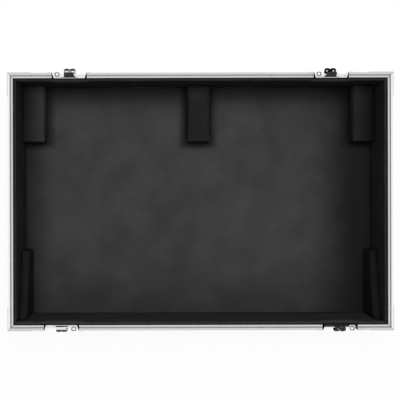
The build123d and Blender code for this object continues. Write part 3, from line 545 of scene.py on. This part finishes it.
def swollen(piece, cap, give):
    """Blows the cover up as cloth over its foam. give is how freely each place may move, 0 to 1."""
    even = piece.modifiers.new("even_mesh", "REMESH")
    even.mode = "VOXEL"
    even.voxel_size = 4 * MM
    work_in(piece)
    before = [vertex.co.copy() for vertex in piece.data.vertices]
    cover = piece.modifiers.new("cover", "CLOTH")
    cover.settings.use_pressure = True
    cover.settings.uniform_pressure_force = 4.0
    cover.settings.effector_weights.gravity = 0.0
    cover.point_cache.frame_end = SWELL_FRAMES
    for step in range(1, SWELL_FRAMES + 1):
        bpy.context.scene.frame_set(step)
    work_in(piece)
    bpy.context.scene.frame_set(1)
    for vertex, start in zip(piece.data.vertices, before):
        move = (vertex.co - start) * give(start)
        vertex.co = start + move * min(1.0, cap / max(move.length, 1e-9))
    finer = piece.modifiers.new("finer", "SUBSURF")
    finer.levels = finer.render_levels = 1
    work_in(piece)
    for face in piece.data.polygons:
        face.use_smooth = True


def rear_block(place, nap_and_painted_light, seed):
    low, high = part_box(f"rear_block_{place}")
    middle_x, half = (low.x + high.x) / 2, (high.x - low.x) / 2
    front = low.y + STRIP_THICK

    def formed(x, y, z):
        """Foam pulled in by the wrap on its sides and crowned on its top."""
        rise = (z - low.z) / (high.z - low.z)
        run = (y - front) / (high.y - front)
        waist = BLOCK_WAIST * math.sin(math.pi * rise) * math.sin(math.pi * min(1.0, max(0.0, run)))
        x += -waist * (x - middle_x) / half
        crown = BLOCK_CROWN * (1 - ((x - middle_x) / half) ** 2) * rise**6
        uneven = 0.6 * MM * ripple(x, y, z, 0.05, seed) * rise
        return x, y, z + crown - uneven - STRIP_THICK * rise**8

    section = block_section(low.x, high.x, low.z, high.z, BLOCK_ROUND)
    loops = []
    for y in rounded_ends(front, high.y, BLOCK_STEP, BLOCK_END_ROUND):
        drop = end_drop(y, front, high.y, BLOCK_END_ROUND)
        loop = []
        for x, z in section:
            inward_x = x + drop * (-1 if x > middle_x else 1) * min(1.0, abs(x - middle_x) / half)
            loop.append(formed(inward_x, y, z - drop * smooth((z - low.z) / (high.z - low.z))))
        loops.append(loop)
    # The cover is painted lighter and darker across the block, as light and shade.
    cover = velour(f"block_velour_{place}", *BLOCK_GREYS, painted_light_across(low.x, high.x, *nap_and_painted_light))
    block = skin(f"rear_block_{place}_wrapped", loops, cover)

    def give(point):
        """Held on the floor, at the wall and under the closing strip."""
        free = smooth((point.z - low.z) / HELD_OVER) * smooth((high.y - point.y) / HELD_OVER)
        return free * smooth((point.y - front - STRIP_LENGTH) / (20 * MM))

    swollen(block, BLOCK_CAP, give)
    soft_piece(block, f"rear_block_{place}")

    # the closing strip: up the end of the block, round its edge and back over the top
    loops = []
    first_x, last_x, strip_end = low.x + STRIP_INSET, high.x - STRIP_INSET, front + STRIP_LENGTH
    for x in rounded_ends(first_x, last_x, 4 * MM, 1.0 * MM):
        past_flat = max(0.0, abs(x - middle_x) - half + BLOCK_ROUND)
        side_fall = BLOCK_ROUND - math.sqrt(max(0.0, BLOCK_ROUND**2 - past_flat**2))
        crest = formed(x, strip_end, high.z)[2] - side_fall
        thin = STRIP_THICK * (1 - 0.5 * end_drop(x, first_x, last_x, 1.0 * MM) / MM)
        turn_y, turn_z, foot = front + STRIP_BEND, crest - STRIP_BEND, low.z + 0.3 * MM
        inside = [(strip_end, crest)] + arc(turn_y, turn_z, STRIP_BEND, 90, 180, 5)
        inside += [(front, z) for z in spaced(turn_z, foot, 8 * MM)[1:]]
        outside = [(front - thin, z) for z in spaced(foot, turn_z, 8 * MM)]
        outside += arc(turn_y, turn_z, STRIP_BEND + thin, 180, 90, 5)[1:]
        outside += [(strip_end - 0.6 * MM, crest + thin), (strip_end, crest + thin * 0.5)]
        loops.append([(x, y, z) for y, z in inside + outside])
    strip = skin(f"rear_block_{place}_closing_strip", loops, cover)
    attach(strip, "case")


# Each pair sets the painted light and shade at the left and right side of a block.
rear_block("left", (0.3, 1.05), 50.0)
rear_block("centre", (0.52, 0.52), 53.0)
rear_block("right", (0.62, 0.12), 56.0)


# Side wedges
# A wedge of the same wrapped foam stands against each end wall in the front corner and keeps the mixer
# off it. Its top slopes up to the front.
WEDGE_ROUND = 8.0 * MM
WEDGE_BACK_HEIGHT = 84 * MM
WEDGE_CAP = 1.4 * MM


def side_wedge(place, nap_and_painted_light, seed):
    low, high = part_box(f"side_block_{place}")
    middle_x, half = (low.x + high.x) / 2, (high.x - low.x) / 2
    back_top = low.z + WEDGE_BACK_HEIGHT
    section = block_section(low.x, high.x, low.z, high.z, WEDGE_ROUND)
    loops = []
    for y in rounded_ends(low.y, high.y, BLOCK_STEP, BLOCK_END_ROUND):
        top = high.z + (back_top - high.z) * (y - low.y) / (high.y - low.y)
        drop = end_drop(y, low.y, high.y, BLOCK_END_ROUND)
        loop = []
        for x, z in section:
            rise = (z - low.z) / (high.z - low.z)
            if z > high.z - WEDGE_ROUND - MM / 10:
                z = top - (high.z - z)
            else:
                z = low.z + (z - low.z) * (top - WEDGE_ROUND - low.z) / (high.z - WEDGE_ROUND - low.z)
            pull = BLOCK_WAIST * math.sin(math.pi * min(1.0, rise)) + drop
            x += pull * (-1 if x > middle_x else 1) * min(1.0, abs(x - middle_x) / half)
            uneven = 0.5 * MM * ripple(x, y, z, 0.05, seed)
            loop.append((x, y, z - (uneven + drop) * smooth(rise)))
        loops.append(loop)
    # The cover is painted lighter and darker across the wedge, as light and shade.
    cover = velour(f"wedge_velour_{place}", *BLOCK_GREYS, painted_light_across(low.x, high.x, *nap_and_painted_light))
    wedge = skin(f"side_wedge_{place}_wrapped", loops, cover)
    wall = low.x if place == "left" else high.x

    def give(point):
        """Held on the floor and against the two walls."""
        free = smooth((point.z - low.z) / HELD_OVER) * smooth((point.y - low.y) / HELD_OVER)
        return free * smooth(abs(point.x - wall) / (8 * MM))

    swollen(wedge, WEDGE_CAP, give)
    soft_piece(wedge, f"side_block_{place}")


# Each pair sets the painted light and shade at the left and right side of a wedge.
side_wedge("left", (0.25, 0.4), 80.0)
side_wedge("right", (0.3, 0.16), 83.0)


# Butterfly latches
# The dish, base plate, cam, hook plate and wing are pressed steel, polished and chromed. A dark reflection
# is painted on the plates, cams, hooks, one dish and the right-hand wings, but for a band on one hook and
# that dish; the two left-hand wings have a satin finish, with a dark reflection painted on their outer
# part.
# Dark painted on chrome as a dark reflection, and round the padlock holes as shade.
PAINTED_DARK = (0.012, 0.012, 0.011)
LATCHES = ("front_left", "front_right", "back_left", "back_right")


def chrome(name, painted_dark_reflection=None, unpainted_band=None, painted_dark_from=None):
    """Chromed steel under a painted dark reflection, all but a band, or on a satin finish from a line
    outwards.

    Band and line are measured out from the face of the rim.
    """
    worn_and_painted_light = painted_dark_from is not None
    metal = Finish(name, Metallic=0.5 if worn_and_painted_light else 1.0)
    smudges = metal.clouds(70, 70, 70, 5.0, 0.6)
    polish = metal.clouds(1200, 140, 1200, 2.0)
    hairlines = metal.step(metal.clouds(420, 90, 900, 2.0), 0.64, 0.7)
    beyond = abs(metal.axes()[1]) - rim_half.y
    colour = metal.tint(smudges, (0.72, 0.725, 0.735), (0.84, 0.84, 0.845))
    colour = metal.tint(hairlines * 0.35, colour, (0.5, 0.5, 0.51))
    rough = (0.34 if worn_and_painted_light else 0.06) + smudges * 0.14 + hairlines * 0.12
    dark = None
    # Painted dark reflection over the chrome, thinner in smudged patches.
    if painted_dark_reflection:
        dark = painted_dark_reflection - metal.step(smudges, 0.6, 0.72) * (0.55 * painted_dark_reflection)
    if unpainted_band:
        band = metal.step(beyond, unpainted_band[0], unpainted_band[0] + MM) * metal.step(beyond, unpainted_band[1] + MM, unpainted_band[1])
        dark = dark * (1 - band)
    # Painted dark reflection on the outer part of a satin wing.
    if worn_and_painted_light:
        dark = metal.step(beyond, painted_dark_from, painted_dark_from + 1.5 * MM) * 0.95
    if dark:
        colour = metal.tint(dark, colour, PAINTED_DARK)
        rough = rough + dark * 0.22
    relief = metal.bump(polish - hairlines, 0.01 * MM, 0.3)
    return metal.ends_in(Base_Color=colour, Roughness=rough, Normal=relief)


bright = chrome("chromed_pressing")
# Chrome with a painted dark reflection.
chrome_painted_dark = chrome("pressing_painted_dark", 0.97)
dress(bright, "latch_dish_front_left", "latch_dish_back_left", "latch_dish_back_right")
dress(chrome("dish_painted_dark", 0.97, unpainted_band=(-1.6 * MM, 20 * MM)), "latch_dish_front_right")
dress(chrome_painted_dark, "latch_base_plates", *(f"latch_cam_{place}" for place in LATCHES))
dress(chrome_painted_dark, "latch_hook_front_right", "latch_hook_back_left", "latch_hook_back_right")
dress(chrome("hook_with_unpainted_band", 0.97, unpainted_band=(-10.2 * MM, -4.2 * MM)), "latch_hook_front_left")
dress(chrome_painted_dark, "latch_wing_front_right", "latch_wing_back_right")
dress(chrome("wing_front_painted_dark", painted_dark_from=2.0 * MM), "latch_wing_front_left")
dress(chrome("wing_back_painted_dark", painted_dark_from=6.0 * MM), "latch_wing_back_left")


# Padlock lugs
# Beside each latch an angle of 2 mm steel stands on the back of the dish, zinc plated, with an 8 mm hole
# in its top. Painted shade makes a dark ring round the hole.
LUG_OFF = 31 * MM
HOLE_IN = 4.2 * MM
HOLE_R = 4 * MM


def lug_plate():
    metal = Finish("zinc_padlock_lug", Metallic=1.0)
    bloom = metal.clouds(60, 60, 60, 4.0, 0.6)
    rings = []
    for place in LATCHES:
        low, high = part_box(f"latch_wing_{place}")
        outward = -1 if place.startswith("front") else 1
        hole = ((low.x + high.x) / 2 - outward * LUG_OFF, outward * (rim_half.y - HOLE_IN), rim_top)
        inputs = {0: metal.place, 1: hole}
        away = metal.node("ShaderNodeVectorMath", {"operation": "DISTANCE"}, inputs, "Value")
        # Painted shade in a ring round each padlock hole.
        rings.append(metal.step(away, HOLE_R + 2.5 * MM, HOLE_R + 1.3 * MM))
    ring = sum(rings[1:], rings[0])
    colour = metal.tint(bloom, (0.55, 0.56, 0.575), (0.74, 0.745, 0.75))
    colour = metal.tint(ring * 0.95, colour, PAINTED_DARK)
    return metal.ends_in(Base_Color=colour, Roughness=0.2 + bloom * 0.16 + ring * 0.2)


dress(lug_plate(), "padlock_lugs")


# Handles
# A pressed dish in each end holds a bent steel bail with a moulded rubber grip. Springs round the ends
# of the bail pull it back flat into the dish.
def rubber():
    grip = Finish("moulded_rubber", IOR=1.5)
    skin_grain = grip.clouds(1500, 1500, 1500, 3.0)
    handled = grip.step(grip.clouds(90, 50, 90, 4.0), 0.45, 0.7)
    colour = grip.tint(handled, (0.016, 0.016, 0.016), (0.034, 0.033, 0.032))
    rough = 0.62 - handled * 0.18
    grain = grip.bump(skin_grain, 0.1 * MM, 0.5)
    return grip.ends_in(Base_Color=colour, Roughness=rough, Normal=grain)


moulded = rubber()
for place in ("left", "right"):
    dress(zinc, f"handle_dish_{place}", f"handle_bail_{place}")
    dress(moulded, f"handle_grip_{place}")
dress(zinc, "handle_springs")


# Studio
# A white table under a wide soft lamp, with the camera straight above the case and a little to its left
# and back. The table shows white and keeps a faint shadow.
TABLE_HALF = 6.0
TABLE_WHITE = 0.94


def table_top():
    paper = Finish("white_table", Roughness=0.9, Base_Color=(0.9, 0.9, 0.9, 1))
    white = paper.node("ShaderNodeEmission", None, {"Color": (1, 1, 1, 1), "Strength": 1.0})
    lit = Socket(paper, paper.surface.outputs["BSDF"])
    share = paper.rays("Camera", "Glossy", "Transmission") * TABLE_WHITE
    mixed = paper.node("ShaderNodeMixShader", None, {0: share, 1: lit, 2: white})
    paper.tree.links.new(mixed.output, paper.tree.nodes["Material Output"].inputs["Surface"])
    corners = [(x * TABLE_HALF, y * TABLE_HALF, 0) for x, y in ((-1, -1), (1, -1), (1, 1), (-1, 1))]
    mesh = bpy.data.meshes.new("table")
    mesh.from_pydata(corners, [], [(0, 1, 2, 3)])
    mesh.materials.append(paper.material)
    placed("table", mesh)


table_top()


def lamp(name, place, aim, size, watts):
    light = bpy.data.lights.new(name, "AREA")
    light.shape = "RECTANGLE"
    light.size, light.size_y = size
    light.energy = watts
    made = placed(name, light)
    made.location = place
    made.rotation_euler = (Vector(aim) - Vector(place)).to_track_quat("-Z", "Y").to_euler()
    made.visible_glossy = False
    made.visible_camera = False


lamp("overhead_softbox", (0.06, 0.52, 2.6), (0.0, 0.0, 0.1), (1.5, 1.1), 78)


def surroundings():
    """Shows white behind the case and in its metal, and lights it only faintly."""
    world = bpy.data.worlds.new("studio")
    world.use_nodes = True
    room = Shading(world.node_tree)
    level = room.step(room.rays("Camera", "Glossy", "Transmission"), 0.0, 1.0, 0.1, 1.0)
    ground = room.tree.nodes["Background"]
    ground.inputs["Color"].default_value = (1, 1, 1, 1)
    room.tree.links.new(level.output, ground.inputs["Strength"])
    bpy.context.scene.world = world


surroundings()

camera = bpy.data.cameras.new("overhead_camera")
camera.sensor_width = 36.0
camera.lens = 80.78
camera.shift_x = 0.0913
camera.shift_y = -0.0436
shot = placed("overhead_camera", camera)
shot.location = (-0.094, 0.048, 2.468)
shot.rotation_euler = (0.0, 0.0, -0.0024)
bpy.context.scene.camera = shot
bpy.context.scene.view_settings.view_transform = "Standard"
